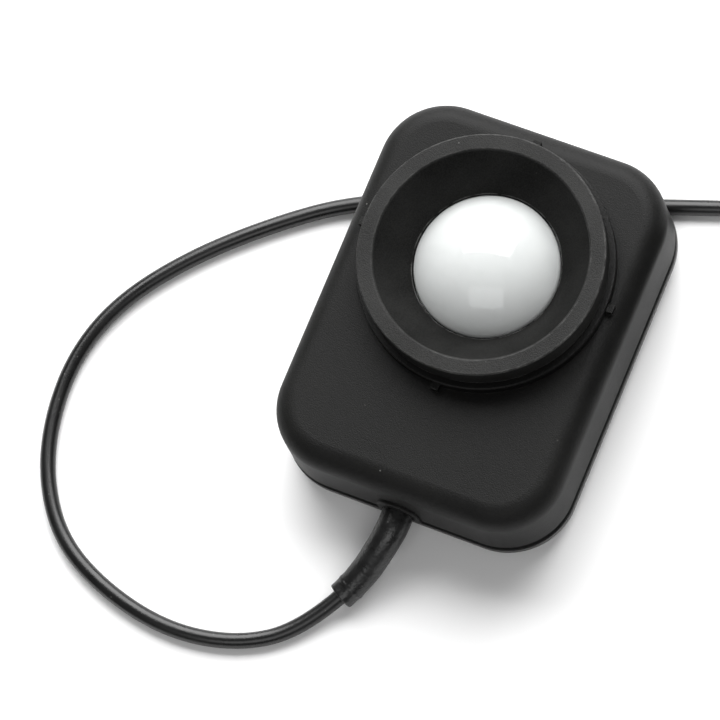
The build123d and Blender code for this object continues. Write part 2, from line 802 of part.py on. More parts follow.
with BuildPart() as coil_tie:
    tie_dir = (cos(radians(tie_from)), sin(radians(tie_from)), 0)
    tie_normal = (sin(radians(tie_from)), -cos(radians(tie_from)), 0)
    with BuildSketch(Plane(origin=(coil_x, coil_y, 0), x_dir=tie_dir, z_dir=tie_normal)):
        with Locations((coil_turn_radius, tie_thickness + coil_wide / 2)):
            RectangleRounded(
                coil_wide + 2 * tie_thickness, coil_wide + 2 * tie_thickness, cable_radius + tie_thickness
            )
            RectangleRounded(coil_wide, coil_wide, cable_radius, mode=Mode.SUBTRACT)
    revolve(axis=coil_axis, revolution_arc=tie_angle)
write(coil_tie, "coil_tie")

with BuildPart() as cable_lead:
    lead_radii = corner_radii(lead_route)
    with BuildLine() as lead_path:
        FilletPolyline(*lead_route, radius=lead_radii)
    with BuildSketch(lead_path.line ^ 0):
        Circle(cable_radius)
    sweep(path=lead_path.line)
    report_tube("cable_lead", cable_lead, lead_path.wire(), cable_radius)
    add(cable_coil.part, mode=Mode.SUBTRACT)
write(cable_lead, "cable_lead")

with BuildPart() as cable_end:
    end_radii = corner_radii(end_route)
    with BuildLine() as end_path:
        FilletPolyline(*end_route, radius=end_radii)
    with BuildSketch(end_path.line ^ 0):
        Circle(cable_radius)
    sweep(path=end_path.line)
    report_tube("cable_end", cable_end, end_path.wire(), cable_radius)
    add(cable_coil.part, mode=Mode.SUBTRACT)
write(cable_end, "cable_end")

print("lead radii", [round(r, 1) for r in lead_radii])
print("end radii", [round(r, 1) for r in end_radii])
print("boot radii", [round(r, 1) for r in tail_radii])

plug_dir = (Vector(*end_route[-1]) - Vector(*end_route[-2])).normalized()
plug_plane = Plane(origin=end_route[-1], x_dir=(0, 0, 1), z_dir=plug_dir)

with BuildPart() as plug_body:
    with BuildSketch(plug_plane):
        Circle(plug_boot_tip_radius)
    with BuildSketch(plug_plane.offset(plug_boot_length)):
        Circle(plug_boot_root_radius)
    loft()
    with BuildSketch(plug_plane.offset(plug_boot_length)):
        Circle(plug_radius)
    extrude(amount=plug_length)
    fillet(plug_body.edges().filter_by(GeomType.CIRCLE).sort_by(SortBy.RADIUS)[-2:], plug_round)
write(plug_body, "plug_body")

with BuildPart() as plug_shell:
    with BuildSketch(plug_plane.offset(plug_boot_length + plug_length)):
        Circle(plug_shell_radius)
        Circle(plug_shell_radius - plug_shell_wall, mode=Mode.SUBTRACT)
    extrude(amount=plug_shell_length)
write(plug_shell, "plug_shell")

with BuildPart() as plug_insulator:
    with BuildSketch(plug_plane.offset(plug_boot_length + plug_length)):
        Circle(plug_shell_radius - plug_shell_wall - thread_gap)
        with PolarLocations(pin_circle, 4, start_angle=45):
            Circle(pin_radius + thread_gap, mode=Mode.SUBTRACT)
    extrude(amount=plug_insulator_length)
write(plug_insulator, "plug_insulator")

with BuildPart() as plug_pins:
    with BuildSketch(plug_plane.offset(plug_boot_length + plug_length)):
        with PolarLocations(pin_circle, 4, start_angle=45):
            Circle(pin_radius)
    extrude(amount=plug_shell_length - pin_setback)
write(plug_pins, "plug_pins")
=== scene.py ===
import math

import bmesh
import bpy
from mathutils import Matrix, Vector, noise


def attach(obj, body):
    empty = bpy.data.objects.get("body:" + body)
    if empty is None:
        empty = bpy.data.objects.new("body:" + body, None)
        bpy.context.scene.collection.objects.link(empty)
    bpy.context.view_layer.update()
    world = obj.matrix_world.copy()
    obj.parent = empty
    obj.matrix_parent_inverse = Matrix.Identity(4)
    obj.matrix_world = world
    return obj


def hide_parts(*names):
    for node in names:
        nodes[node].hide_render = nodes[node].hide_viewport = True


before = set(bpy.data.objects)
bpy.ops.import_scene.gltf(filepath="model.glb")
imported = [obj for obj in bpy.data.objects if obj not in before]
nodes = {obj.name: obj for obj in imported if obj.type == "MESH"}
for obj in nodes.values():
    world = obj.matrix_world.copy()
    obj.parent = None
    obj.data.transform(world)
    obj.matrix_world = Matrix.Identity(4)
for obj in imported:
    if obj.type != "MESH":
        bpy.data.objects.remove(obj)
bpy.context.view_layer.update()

mm = 0.001
scene = bpy.context.scene
print("frame loaded:", len(nodes), "parts")


# camera, looking down on the head from beside its near right corner

cameraView = {
    "azimuth": 52.69,  # degrees round from the near end
    "elevation": 71.235,
    "roll": -31.23,
    "aim": (-20.34, -16.18, 16.0),
    "distance": 960.91,
    "lens": 224.09,
    "sensor": 36.0,
    "clip": (0.05, 20.0),
}


def makeCamera(view):
    azimuth, elevation = math.radians(view["azimuth"]), math.radians(view["elevation"])
    back = Vector((
        math.sin(azimuth) * math.cos(elevation),
        -math.cos(azimuth) * math.cos(elevation),
        math.sin(elevation),
    ))
    data = bpy.data.cameras.new("headCamera")
    data.lens, data.sensor_width = view["lens"], view["sensor"]
    data.clip_start, data.clip_end = view["clip"]
    camera = bpy.data.objects.new("headCamera", data)
    rolled = Matrix.Rotation(math.radians(view["roll"]), 3, "Z")
    turned = (-back).to_track_quat("-Z", "Y").to_matrix() @ rolled
    place = (Vector(view["aim"]) + back * view["distance"]) * mm
    camera.matrix_world = Matrix.Translation(place) @ turned.to_4x4()
    scene.collection.objects.link(camera)
    scene.camera = camera


makeCamera(cameraView)
print("camera set")


# the lead: one line from the boot's tip, round the left side, under the head and into its coil

lead = {
    "diameter": 3.5,
    "realLength": 1.4,  # metres, boot to plug
    "route": [
        (-7.4, -63.8, 3.3), (-12.9, -73.2, 1.75), (-24.3, -80.9, 1.75), (-39.8, -83.7, 1.75),
        (-56.3, -80.6, 1.75), (-70.4, -73.7, 1.75), (-79.4, -61.9, 1.75), (-83.8, -48.3, 1.75),
        (-84.4, -33.3, 1.75), (-79.8, -19.1, 1.75), (-69.4, -5.1, 1.75), (-55.6, 7.9, 1.75),
        (-39.8, 19.5, 1.75), (-16.3, 28.7, 1.75), (7.7, 35.7, 1.75), (46.7, 48.8, 1.75), (68.95, 55.3, 1.75),
    ],
    "end": [
        (61.9, 21.8, 9.6), (56.4, 31.5, 12.75), (57.2, 44.5, 12.75), (65.0, 53.0, 12.75),
        (74.7, 53.6, 13.6), (82.9, 48.4, 16.5), (86.5, 39.2, 16.5),
    ],
}
coil = {
    "centre": (76.5, 32.0),
    "startAngle": 107.9,
    "pointsPerTurn": 16,
    "lastAngle": 2748.0,  # how far round the turns go, in degrees
    "shiftAngle": 45.0,  # a turn moves over to its next place within this angle
    "places": [  # radius and height of each turn, in winding order
        (24.5, 2.25), (21.0, 2.25), (17.5, 2.25), (17.5, 5.75), (21.0, 5.75),
        (24.5, 5.75), (24.5, 9.25), (21.0, 9.25), (17.5, 9.25),
    ],
    "shiftEnds": (360, 720, 1035, 1350, 1710, 2025, 2340, 2700),
}


def coilPoints(settings):
    step = 360.0 / settings["pointsPerTurn"]
    outward = 4 / (3 + math.cos(math.radians(step)))  # the line runs inside its control points
    points = []
    for index in range(1, int(settings["lastAngle"] / step) + 1):
        turned = index * step
        radius, height = settings["places"][0]
        for shiftEnd, (nextRadius, nextHeight) in zip(settings["shiftEnds"], settings["places"][1:]):
            share = min(1.0, max(0.0, (turned - shiftEnd) / settings["shiftAngle"] + 1))
            radius += (nextRadius - radius) * share
            height += (nextHeight - height) * share
        angle = math.radians(settings["startAngle"] - turned)
        points.append((
            settings["centre"][0] + radius * outward * math.cos(angle),
            settings["centre"][1] + radius * outward * math.sin(angle),
            height,
        ))
    return points


def nurbsCurve(name, points, radius=0.0):
    curve = bpy.data.curves.new(name, "CURVE")
    curve.dimensions = "3D"
    curve.resolution_u = 10
    curve.bevel_depth = 1.0 if radius else 0.0  # each point's own radius sets the thickness
    curve.bevel_resolution = 5
    curve.use_fill_caps = True
    spline = curve.splines.new("NURBS")
    spline.points.add(len(points) - 1)
    for point, place in zip(spline.points, points):
        point.co = (place[0] * mm, place[1] * mm, place[2] * mm, 1)
        point.radius = radius * mm
    spline.order_u = 3
    spline.use_endpoint_u = True
    piece = bpy.data.objects.new(name, curve)
    scene.collection.objects.link(piece)
    return piece


sensorLead = nurbsCurve("sensorLead", lead["route"] + coilPoints(coil) + lead["end"], lead["diameter"] / 2)
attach(sensorLead, "root")
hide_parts("cable_lead", "cable_coil", "cable_end")
print("lead laid")


# mesh helpers

def meshPiece(name, mesh):
    bmesh.ops.recalc_face_normals(mesh, faces=mesh.faces)
    data = bpy.data.meshes.new(name)
    mesh.to_mesh(data)
    mesh.free()
    for face in data.polygons:
        face.use_smooth = True
    piece = bpy.data.objects.new(name, data)
    scene.collection.objects.link(piece)
    return piece


def ringMesh(name, rings):  # one closed skin over rings of points, in millimetres
    mesh = bmesh.new()
    rows = [[mesh.verts.new(Vector(point) * mm) for point in ring] for ring in rings]
    count = len(rows[0])
    for lower, upper in zip(rows, rows[1:]):
        for i in range(count):
            j = (i + 1) % count
            mesh.faces.new((lower[i], lower[j], upper[j], upper[i]))
    for row in (rows[0], rows[-1]):
        middle = mesh.verts.new(sum((v.co for v in row), Vector()) / count)
        for i in range(count):
            mesh.faces.new((row[i], row[(i + 1) % count], middle))
    return meshPiece(name, mesh)


def smoothStep(x):
    x = min(1.0, max(0.0, x))
    return x * x * (3 - 2 * x)


def softCorner(before, corner, after, radius, steps=4):  # a rounded corner of a turned profile
    corner, before, after = Vector(corner), Vector(before), Vector(after)
    start = corner + (before - corner).normalized() * radius
    end = corner + (after - corner).normalized() * radius
    points = []
    for i in range(steps + 1):
        t = i / steps
        points.append(tuple(start * (1 - t) ** 2 + corner * 2 * t * (1 - t) + end * t * t))
    return points


def turnedProfile(corners, radii):  # a profile with its corners rounded
    points = [corners[0]]
    for before, corner, after, radius in zip(corners, corners[1:], corners[2:], radii):
        points += softCorner(before, corner, after, radius) if radius else [corner]
    return points + [corners[-1]]


def turnedRings(profile, origin, axis, side, segments, flute=None):  # (distance, radius) pairs round an axis
    origin, axis, side = Vector(origin), Vector(axis).normalized(), Vector(side).normalized()
    other = axis.cross(side)
    rings = []
    for distance, radius in profile:
        ring = []
        for i in range(segments):
            angle = 2 * math.pi * i / segments
            reach = radius + (flute(distance, angle) if flute else 0.0)
            ring.append(origin + axis * distance + (side * math.cos(angle) + other * math.sin(angle)) * reach)
        rings.append(ring)
    return rings


# shader groups shared by the finishes

def addNode(tree, kind, inputs=None, **settings):
    node = tree.nodes.new(kind)
    for key, value in settings.items():
        setattr(node, key, value)
    for key, value in (inputs or {}).items():
        if isinstance(value, bpy.types.NodeSocket):
            tree.links.new(value, node.inputs[key])
        else:
            node.inputs[key].default_value = value
    return node


def calc(tree, operation, first, second=0.0):
    return addNode(tree, "ShaderNodeMath", {0: first, 1: second}, operation=operation).outputs[0]


def remap(tree, value, low, high, toLow=0.0, toHigh=1.0):
    inputs = {"Value": value, "From Min": low, "From Max": high, "To Min": toLow, "To Max": toHigh}
    return addNode(tree, "ShaderNodeMapRange", inputs).outputs[0]


def blendColour(tree, share, first, second):  # a plain colour may be given without its alpha
    ends = [(*colour, 1) if isinstance(colour, tuple) else colour for colour in (first, second)]
    return addNode(tree, "ShaderNodeMix", {0: share, 6: ends[0], 7: ends[1]}, data_type="RGBA").outputs[2]


def addNoise(tree, place, scale, detail):
    return addNode(tree, "ShaderNodeTexNoise", {"Vector": place, "Scale": scale, "Detail": detail}).outputs[0]


def addBump(tree, shader, height, strength, distance=0.0002):
    inputs = {"Strength": strength, "Distance": distance, "Height": height}
    tree.links.new(addNode(tree, "ShaderNodeBump", inputs).outputs[0], shader.inputs["Normal"])


def newGroup(name, inputs, outputs):
    group = bpy.data.node_groups.new(name, "ShaderNodeTree")
    for label, value in inputs.items():
        socket = group.interface.new_socket(name=label, in_out="INPUT", socket_type="NodeSocketFloat")
        socket.default_value = value
    for label in outputs:
        group.interface.new_socket(name=label, in_out="OUTPUT", socket_type="NodeSocketFloat")
    return group, addNode(group, "NodeGroupInput").outputs, addNode(group, "NodeGroupOutput")


def buildMouldGrain():  # fine pebbled grain with slow patches of tone
    scales = {"Grain Scale": 2600.0, "Patch Scale": 60.0}
    group, given, out = newGroup("mouldGrain", scales, ["Height", "Patch", "Speckle"])
    place = addNode(group, "ShaderNodeTexCoord").outputs["Object"]
    fine = addNoise(group, place, given["Grain Scale"], 3.0)
    larger = calc(group, "MULTIPLY", given["Grain Scale"], 0.8)
    cells = addNode(group, "ShaderNodeTexVoronoi", {"Vector": place, "Scale": larger}, feature="SMOOTH_F1")
    patch = addNoise(group, place, given["Patch Scale"], 4.0)
    pebbles = calc(group, "MULTIPLY", cells.outputs["Distance"], 0.4)
    group.links.new(calc(group, "SUBTRACT", fine, pebbles), out.inputs["Height"])
    group.links.new(remap(group, patch, 0.3, 0.7), out.inputs["Patch"])
    group.links.new(remap(group, fine, 0.38, 0.62), out.inputs["Speckle"])
    return group


def buildEdgeWear():  # rubbed edges, where the rounded normal leaves the flat one
    group, given, out = newGroup("edgeWear", {"Edge Width": 0.0004, "Break Up Scale": 500.0}, ["Mask"])
    rounded = addNode(group, "ShaderNodeBevel", {"Radius": given["Edge Width"]}, samples=4)
    flat = addNode(group, "ShaderNodeNewGeometry").outputs["Normal"]
    facing = addNode(group, "ShaderNodeVectorMath", {0: rounded.outputs[0], 1: flat}, operation="DOT_PRODUCT")
    edge = remap(group, facing.outputs["Value"], 0.995, 0.86)
    place = addNode(group, "ShaderNodeTexCoord").outputs["Object"]
    broken = addNoise(group, place, given["Break Up Scale"], 3.0)
    mask = calc(group, "MULTIPLY", edge, remap(group, broken, 0.35, 0.65))
    group.links.new(mask, out.inputs["Mask"])
    return group


def buildLooseDust():  # sparse specks on faces that look up
    group, given, out = newGroup("looseDust", {"Speck Scale": 700.0, "Amount": 0.5}, ["Mask"])
    place = addNode(group, "ShaderNodeTexCoord").outputs["Object"]
    specks = addNode(group, "ShaderNodeTexVoronoi", {"Vector": place, "Scale": given["Speck Scale"]})
    near = remap(group, specks.outputs["Distance"], 0.16, 0.06)
    chosen = addNode(group, "ShaderNodeSeparateXYZ", {0: specks.outputs["Color"]}).outputs[0]
    kept = calc(group, "LESS_THAN", chosen, calc(group, "MULTIPLY", given["Amount"], 0.12))
    normal = addNode(group, "ShaderNodeNewGeometry").outputs["Normal"]
    upward = remap(group, addNode(group, "ShaderNodeSeparateXYZ", {0: normal}).outputs[2], 0.2, 0.9)
    group.links.new(calc(group, "MULTIPLY", calc(group, "MULTIPLY", near, kept), upward), out.inputs["Mask"])
    return group


def buildWovenThread():  # two crossing sets of threads
    group, given, out = newGroup("wovenThread", {"Thread Scale": 900.0}, ["Height"])
    place = addNode(group, "ShaderNodeTexCoord").outputs["Object"]
    scaled = addNode(group, "ShaderNodeVectorMath", {0: place}, operation="SCALE")
    group.links.new(given["Thread Scale"], scaled.inputs["Scale"])
    parts = addNode(group, "ShaderNodeSeparateXYZ", {0: scaled.outputs[0]}).outputs
    fullTurn = 6.283
    along = calc(group, "SINE", calc(group, "MULTIPLY", parts[0], fullTurn))
    across = calc(group, "SINE", calc(group, "MULTIPLY", calc(group, "ADD", parts[1], parts[2]), fullTurn))
    woven = calc(group, "MULTIPLY", along, across)
    group.links.new(remap(group, woven, -1.0, 1.0), out.inputs["Height"])
    return group


mouldGrain, edgeWear = buildMouldGrain(), buildEdgeWear()
looseDust, wovenThread = buildLooseDust(), buildWovenThread()
print("shader groups built")


def useGroup(tree, group, **values):
    node = tree.nodes.new("ShaderNodeGroup")
    node.node_tree = group
    for label, value in values.items():
        socket = node.inputs[label.replace("_", " ")]
        if isinstance(value, bpy.types.NodeSocket):
            tree.links.new(value, socket)
        else:
            socket.default_value = value
    return node.outputs


def newMaterial(name):
    material = bpy.data.materials.new(name)
    material.use_nodes = True
    tree = material.node_tree
    shader = tree.nodes["Principled BSDF"]
    return material, tree, shader


mouldShared = {  # what a moulded finish has unless its own dictionary says otherwise
    "patch": 60.0,
    "edge": 0.0004, "breakUp": 500.0, "wear": 0.4, "polish": 0.12,
    "speck": 700.0, "dust": 0.4, "dustShare": 0.5, "dustColour": (0.25, 0.25, 0.24),
    "roughSpread": 0.08, "gloss": 0.5,
}


def averageOf(tree, first, second):
    return calc(tree, "MULTIPLY", calc(tree, "ADD", first, second), 0.5)


def addDust(tree, look, colour):  # the colour with specks of dust over it
    dust = useGroup(tree, looseDust, Speck_Scale=look["speck"], Amount=look["dust"])
    share = calc(tree, "MULTIPLY", dust["Mask"], look["dustShare"])
    return blendColour(tree, share, colour, look["dustColour"])


def mouldedFinish(name, given):  # plastics and rubbers: grain, patches, rubbed edges and a little dust
    look = {**mouldShared, **given}
    material, tree, shader = newMaterial(name)
    grain = useGroup(tree, mouldGrain, Grain_Scale=look["grain"], Patch_Scale=look["patch"])
    worn = useGroup(tree, edgeWear, Edge_Width=look["edge"], Break_Up_Scale=look["breakUp"])
    tone = averageOf(tree, grain["Patch"], grain["Speckle"])
    body = blendColour(tree, tone, look["dark"], look["light"])
    wear = calc(tree, "MULTIPLY", worn["Mask"], look["wear"])
    rubbed = blendColour(tree, wear, body, look["rubbed"])
    tree.links.new(addDust(tree, look, rubbed), shader.inputs["Base Color"])
    uneven = calc(tree, "MULTIPLY", grain["Patch"], look["roughSpread"])
    rough = calc(tree, "ADD", uneven, look["roughness"])
    polished = calc(tree, "SUBTRACT", rough, calc(tree, "MULTIPLY", worn["Mask"], look["polish"]))
    tree.links.new(polished, shader.inputs["Roughness"])
    addBump(tree, shader, grain["Height"], look["depth"])
    shader.inputs["Specular IOR Level"].default_value = look["gloss"]
    return material


def paint(piece, material):
    if not piece.material_slots:
        piece.data.materials.append(material)
    for holder in piece.material_slots:
        holder.material = material


# housing: front shell, rear cover, gasket, feet and screws

housing = {
    "shell": {
        "dark": (0.0014, 0.0014, 0.0013), "light": (0.0072, 0.0072, 0.0068), "rubbed": (0.05, 0.05, 0.048),
        "roughness": 0.45, "grain": 4400.0, "depth": 0.4, "patch": 55.0,
        "edge": 0.0006, "wear": 0.3, "dust": 0.12, "gloss": 0.16,
    },
    # rear cover: tone set well above the shell's, a painted reflection of the bright floor on its side strip
    "cover": {
        "dark": (0.02, 0.02, 0.0194), "light": (0.036, 0.036, 0.035), "rubbed": (0.1, 0.1, 0.097),
        "roughness": 0.42, "grain": 3600.0, "depth": 0.4, "patch": 55.0, "wear": 0.4, "dust": 0.12,
    },
    # seam gasket: black rubber and also painted shade, a near-black dull strip standing for the shadowed gap
    # under the skirt
    "gasket": {
        "dark": (0.0015, 0.0015, 0.0015), "light": (0.003, 0.003, 0.003), "rubbed": (0.005, 0.005, 0.005),
        "roughness": 0.9, "grain": 3500.0, "depth": 0.3, "dust": 0.05, "gloss": 0.08,
    },
    "foot": {
        "dark": (0.012, 0.012, 0.012), "light": (0.02, 0.02, 0.019), "rubbed": (0.05, 0.05, 0.048),
        "roughness": 0.8, "grain": 2800.0, "depth": 0.5, "dust": 0.8,
    },
}

paint(nodes["front_shell"], mouldedFinish("shellPlastic", housing["shell"]))
paint(nodes["rear_cover"], mouldedFinish("coverPlasticPaintedBounce", housing["cover"]))
paint(nodes["seam_gasket"], mouldedFinish("gasketRubberSeamShade", housing["gasket"]))
footRubber = mouldedFinish("footRubber", housing["foot"])
for place in ("front_left", "front_right", "far_left", "far_right"):
    paint(nodes["foot_" + place], footRubber)


metalShared = {
    "grain": 3000.0, "patch": 300.0, "edge": 0.0002, "breakUp": 900.0,
    "along": 60.0, "depth": 0.15, "bumpSize": 0.0001,
}


def metalFinish(name, given):  # plated or polished metal with fine scratches
    look = {**metalShared, **given}
    material, tree, shader = newMaterial(name)
    place = addNode(tree, "ShaderNodeTexCoord").outputs["Object"]
    stretch = (look["scratch"], look["along"], look["scratch"])
    stretched = addNode(tree, "ShaderNodeMapping", {"Vector": place, "Scale": stretch})
    lines = addNoise(tree, stretched.outputs[0], 1.0, 4.0)
    grain = useGroup(tree, mouldGrain, Grain_Scale=look["grain"], Patch_Scale=look["patch"])
    worn = useGroup(tree, edgeWear, Edge_Width=look["edge"], Break_Up_Scale=look["breakUp"])
    colour = blendColour(tree, grain["Patch"], look["dark"], look["light"])
    tree.links.new(blendColour(tree, worn["Mask"], colour, look["bright"]), shader.inputs["Base Color"])
    rough = remap(tree, lines, 0.3, 0.7, look["smooth"], look["rough"])
    tree.links.new(rough, shader.inputs["Roughness"])
    addBump(tree, shader, lines, look["depth"], look["bumpSize"])
    shader.inputs["Metallic"].default_value = 1.0
    return material


screws = {
    "steel": {
        "dark": (0.30, 0.30, 0.31), "light": (0.42, 0.42, 0.42), "bright": (0.7, 0.7, 0.7),
        "scratch": 1500.0, "smooth": 0.22, "rough": 0.42,
    },
    "nickel": {
        "dark": (0.52, 0.49, 0.44), "light": (0.66, 0.63, 0.57), "bright": (0.85, 0.82, 0.76),
        "scratch": 900.0, "smooth": 0.14, "rough": 0.32,
    },
}
screwSteel = metalFinish("screwSteel", screws["steel"])
nickelPlate = metalFinish("nickelPlate", screws["nickel"])
for node in ("cover_screws", "ring_screws", "board_screws", "clamp_screws"):
    paint(nodes[node], screwSteel)
for node in ("plug_shell", "plug_pins", "photocell_can", "photocell_leads", "amplifier_legs"):
    paint(nodes[node], nickelPlate)
print("housing finished")


# shade collar: grained flat rim, with a duller cone and outside wall

collar = {
    "rimHeight": 35.2,
    "rimBlend": (0.5, 0.25),  # the rim's look begins and is full this far below its height
    "cone": {
        "dark": (0.006, 0.0061, 0.0059), "light": (0.02, 0.0201, 0.0195), "roughness": 0.6, "gloss": 0.02,
    },
    "rim": {
        "dark": (0.005, 0.005, 0.0048), "light": (0.023, 0.023, 0.0223), "roughness": 0.46, "gloss": 0.16,
    },
    "rubbed": (0.2, 0.2, 0.194),
    "grain": 4000.0, "patch": 90.0, "depth": 0.45,
    "edge": 0.00045, "breakUp": 350.0, "wear": 0.75, "polish": 0.15, "roughSpread": 0.06,
    "speck": 800.0, "dust": 0.15, "dustShare": 0.6, "dustColour": (0.3, 0.3, 0.29),
}


def collarFinish(name, look):
    material, tree, shader = newMaterial(name)
    grain = useGroup(tree, mouldGrain, Grain_Scale=look["grain"], Patch_Scale=look["patch"])
    worn = useGroup(tree, edgeWear, Edge_Width=look["edge"], Break_Up_Scale=look["breakUp"])
    place = addNode(tree, "ShaderNodeTexCoord").outputs["Object"]
    height = addNode(tree, "ShaderNodeSeparateXYZ", {0: place}).outputs[2]
    onRim = remap(tree, height, *[(look["rimHeight"] - below) * mm for below in look["rimBlend"]])
    mottle = averageOf(tree, grain["Patch"], grain["Speckle"])
    coneTone = blendColour(tree, mottle, look["cone"]["dark"], look["cone"]["light"])
    rimTone = blendColour(tree, mottle, look["rim"]["dark"], look["rim"]["light"])
    body = blendColour(tree, onRim, coneTone, rimTone)
    wear = calc(tree, "MULTIPLY", worn["Mask"], look["wear"])
    rubbed = blendColour(tree, wear, body, look["rubbed"])
    tree.links.new(addDust(tree, look, rubbed), shader.inputs["Base Color"])
    rough = remap(tree, onRim, 0.0, 1.0, look["cone"]["roughness"], look["rim"]["roughness"])
    rough = calc(tree, "ADD", rough, calc(tree, "MULTIPLY", grain["Patch"], look["roughSpread"]))
    polished = calc(tree, "SUBTRACT", rough, calc(tree, "MULTIPLY", worn["Mask"], look["polish"]))
    tree.links.new(polished, shader.inputs["Roughness"])
    addBump(tree, shader, grain["Height"], look["depth"])
    gloss = remap(tree, onRim, 0.0, 1.0, look["cone"]["gloss"], look["rim"]["gloss"])
    tree.links.new(gloss, shader.inputs["Specular IOR Level"])
    return material


collarPlastic = collarFinish("collarPlastic", collar)
for node in ("shade_collar", "light_tube", "retaining_ring"):
    paint(nodes[node], collarPlastic)
print("collar finished")


# dome: polished opal cap

dome = {
    "centre": (0.0, 10.2),
    "radius": 15.7,
    "foot": 26.3,
    "height": 8.6,
    "wall": 2.0,
    "flangeRadius": 18.5,
    "flangeTop": 23.2,
    "flangeBottom": 22.0,
    "flangeRounds": [0.15, 0.15, 0.15, 0.1],
    "segments": 160,
    "insideSteps": 24,
    "outsideSteps": 40,
    "white": (0.58, 0.595, 0.59),
    "shade": (0.55, 0.565, 0.56),
    "grain": 500.0, "patch": 70.0, "depth": 0.02, "smooth": 0.03, "rough": 0.05,
    "speck": 500.0, "dust": 0.15, "dustShare": 0.2, "dustColour": (0.5, 0.5, 0.48),
    "ior": 1.49,
    "scatter": 0.8,
    "scatterDepth": 0.004,  # metres
}


def makeDome(shape):
    radius, wall = shape["radius"], shape["wall"]
    cap = (radius**2 + shape["height"] ** 2) / (2 * shape["height"])
    middle = shape["foot"] + shape["height"] - cap
    inner, innerCap = radius - wall, cap - wall
    insideSteps, outsideSteps = shape["insideSteps"], shape["outsideSteps"]
    profile = []
    for i in range(1, insideSteps + 1):  # inside of the cap, from the crown to its wall
        r = inner * i / insideSteps
        profile.append((middle + math.sqrt(innerCap**2 - r * r), r))
    profile += turnedProfile(
        [profile[-1], (shape["flangeBottom"], inner), (shape["flangeBottom"], shape["flangeRadius"]),
         (shape["flangeTop"], shape["flangeRadius"]), (shape["flangeTop"], radius), (shape["foot"], radius)],
        shape["flangeRounds"],
    )[1:-1]
    for i in range(outsideSteps):  # outside, from the foot to the crown
        angle = math.asin(radius / cap) * (1 - i / outsideSteps)
        profile.append((middle + cap * math.cos(angle), cap * math.sin(angle)))
    origin = (*shape["centre"], 0)
    rings = turnedRings(profile, origin, (0, 0, 1), (1, 0, 0), shape["segments"])
    piece = ringMesh("opalDome", rings)
    ends = list(piece.data.vertices)[len(rings) * shape["segments"]:]
    crown = max(ends, key=lambda v: v.co.z)  # the point that closes the outside is lifted to the true crown
    crown.co.z = (shape["foot"] + shape["height"]) * mm
    return piece


def opalFinish(name, look):
    material, tree, shader = newMaterial(name)
    grain = useGroup(tree, mouldGrain, Grain_Scale=look["grain"], Patch_Scale=look["patch"])
    colour = blendColour(tree, grain["Patch"], look["shade"], look["white"])
    tree.links.new(addDust(tree, look, colour), shader.inputs["Base Color"])
    rough = remap(tree, grain["Patch"], 0.0, 1.0, look["smooth"], look["rough"])
    tree.links.new(rough, shader.inputs["Roughness"])
    addBump(tree, shader, grain["Height"], look["depth"])
    shader.inputs["IOR"].default_value = look["ior"]
    shader.inputs["Subsurface Weight"].default_value = look["scatter"]
    shader.inputs["Subsurface Radius"].default_value = (1.0, 1.0, 1.0)
    shader.inputs["Subsurface Scale"].default_value = look["scatterDepth"]
    return material


opalDome = makeDome(dome)
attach(opalDome, "root")
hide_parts("diffuser_dome")
paint(opalDome, opalFinish("opalPlastic", dome))
print("dome made")


# boot: rubber strain relief, curved down on to the lead, with a low bead near its square end

boot = {
    "route": [
        (-0.8, -41.2, 10.6), (-0.8, -43.1, 10.6), (-0.8, -48.6, 10.6), (-4.6, -59.1, 4.1), (-7.4, -63.8, 3.3),
    ],
    "neck": (2.5, 3.5),  # length inside the wall and radius
    "neckBlend": 0.8,
    "rootRadius": 3.5,
    "tipRadius": 3.12,
    "beadFromTip": 3.3,
    "beadHeight": 0.1,
    "beadHalfWidth": 0.4,
    "beadBlend": 0.5,
    "lip": 0.35,
    "holeRadius": 1.82,
    "waver": 0.05,
    "waverScale": 0.45,
    "waverStart": (2.0, 4.0),  # where the waver begins and how far it takes to be full
    "segments": 56,
    "spacing": 0.22,
    "dark": (0.0012, 0.0013, 0.0013), "light": (0.0036, 0.0038, 0.0038), "rubbed": (0.03, 0.032, 0.032),
    "roughness": 0.24, "roughSpread": 0.16, "grain": 1500.0, "depth": 0.5, "patch": 420.0, "gloss": 0.5,
    "edge": 0.0004, "wear": 0.3, "dust": 0.4,
}


def curveLine(name, route):  # points along a route's smooth line, in millimetres
    guide = nurbsCurve(name, route)
    guide.data.resolution_u = 40
    mesh = bpy.data.meshes.new_from_object(guide)
    line = [v.co / mm for v in mesh.vertices]
    bpy.data.meshes.remove(mesh)
    bpy.data.curves.remove(guide.data)
    return line


def alongLine(line, spacing):  # evenly spaced places, directions and distances
    lengths = [0.0]
    for before, after in zip(line, line[1:]):
        lengths.append(lengths[-1] + (after - before).length)
    steps = max(2, round(lengths[-1] / spacing))
    found, k = [], 0
    for i in range(steps + 1):
        distance = lengths[-1] * i / steps
        while k < len(line) - 2 and lengths[k + 1] < distance:
            k += 1
        run = line[k + 1] - line[k]
        share = (distance - lengths[k]) / max(run.length, 1e-9)
        found.append((line[k] + run * share, run.normalized(), distance))
    return found, lengths[-1]


